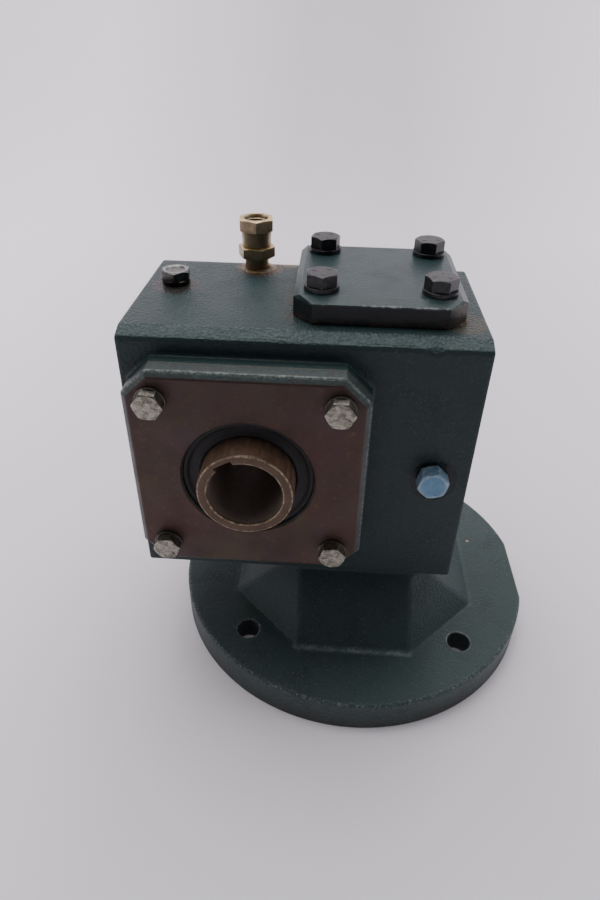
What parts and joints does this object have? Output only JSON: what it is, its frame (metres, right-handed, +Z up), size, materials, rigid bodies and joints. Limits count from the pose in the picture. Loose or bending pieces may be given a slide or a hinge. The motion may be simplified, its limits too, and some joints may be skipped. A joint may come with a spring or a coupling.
{
  "type": "worm gearbox",
  "caption": "Right-angle worm gearbox: box-shaped cast case on a round motor flange, hollow keyed output shaft through square bolted covers, hollow keyed input.",
  "frame": {"origin": "centre of the motor face, in the open mouth of the flange's register recess, on the worm axis", "axes": "+Z up along the worm axis away from the motor; +X to the right, from the output axis towards the worm; +Y to the back, along the output axis"},
  "size_m": [0.2346, 0.2286, 0.2454],
  "materials": {
    "case_paint": "dark blue-green enamel over sand-cast iron, satin, fine orange-peel grain",
    "flange_paint": "the same dark blue-green enamel over cast iron, dustier on the rim",
    "top_cover_paint": "blue-green enamel on a smooth plate, semi-gloss",
    "front_cover_iron": "machined iron tinted brown by oil and light rust",
    "rear_cover_iron": "machined iron tinted brown by oil and light rust",
    "gasket_fibre": "thin oiled fibre gasket",
    "zinc_steel": "zinc plated, slightly dulled",
    "washer_steel": "dark oily steel",
    "black_steel": "black oxide",
    "seal_rubber": "nitrile rubber, oily",
    "bearing_steel": "ground bearing steel",
    "output_shaft_steel": "steel with a brown film of rust, brighter on the worn rim",
    "hub_iron": "bare machined iron",
    "wheel_bronze": "oiled gear bronze",
    "ground_steel": "turned and ground steel",
    "blue_plug_paint": "light blue paint worn to white on its edges",
    "plug_steel": "plated steel with an oily film",
    "vent_brass": "tarnished dark bronze, bright on the edges"
  },
  "bodies": {
    "housing": {"gear_case": "case_paint", "motor_adapter": "flange_paint", "adapter_gasket": "gasket_fibre", "adapter_screws": "black_steel", "front_cover": "front_cover_iron", "front_cover_gasket": "gasket_fibre", "front_cover_screws": "zinc_steel", "front_cover_washers": "washer_steel", "rear_cover": "rear_cover_iron", "rear_cover_gasket": "gasket_fibre", "rear_cover_screws": "zinc_steel", "rear_cover_washers": "washer_steel", "top_cover": "top_cover_paint", "top_cover_gasket": "gasket_fibre", "top_cover_screws": "black_steel", "top_cover_washers": "black_steel", "front_shaft_seal": "seal_rubber", "rear_shaft_seal": "seal_rubber", "input_shaft_seal": "seal_rubber", "front_bearing_outer": "bearing_steel", "rear_bearing_outer": "bearing_steel", "lower_bearing_outer": "bearing_steel", "upper_bearing_outer": "bearing_steel", "level_plug": "blue_plug_paint", "fill_plug": "plug_steel", "vent_bushing": "vent_brass", "vent_coupling": "vent_brass"},
    "output": {"output_shaft": "output_shaft_steel", "wheel_hub": "hub_iron", "wheel_rim": "wheel_bronze", "wheel_key": "ground_steel", "rim_lock_screws": "black_steel", "front_spacer": "ground_steel", "rear_spacer": "ground_steel", "front_bearing_inner": "bearing_steel", "front_bearing_balls": "bearing_steel", "rear_bearing_inner": "bearing_steel", "rear_bearing_balls": "bearing_steel"},
    "worm": {"worm_shaft": "ground_steel", "worm_retaining_ring": "black_steel", "lower_bearing_inner": "bearing_steel", "lower_bearing_balls": "bearing_steel", "upper_bearing_inner": "bearing_steel", "upper_bearing_balls": "bearing_steel"}
  },
  "joints": [
    {"name": "output_spin", "type": "hinge", "parent": "housing", "child": "output", "pos_m": [-0.0603, 0, 0.1472], "axis": [0, 1, 0], "continuous": true},
    {"name": "worm_spin", "type": "hinge", "parent": "housing", "child": "worm", "pos_m": [0, 0, 0.1472], "axis": [0, 0, 1], "continuous": true}
  ],
  "couplings": [
    {"joint": "worm_spin", "follows": "output_spin", "ratio": 30}
  ]
}
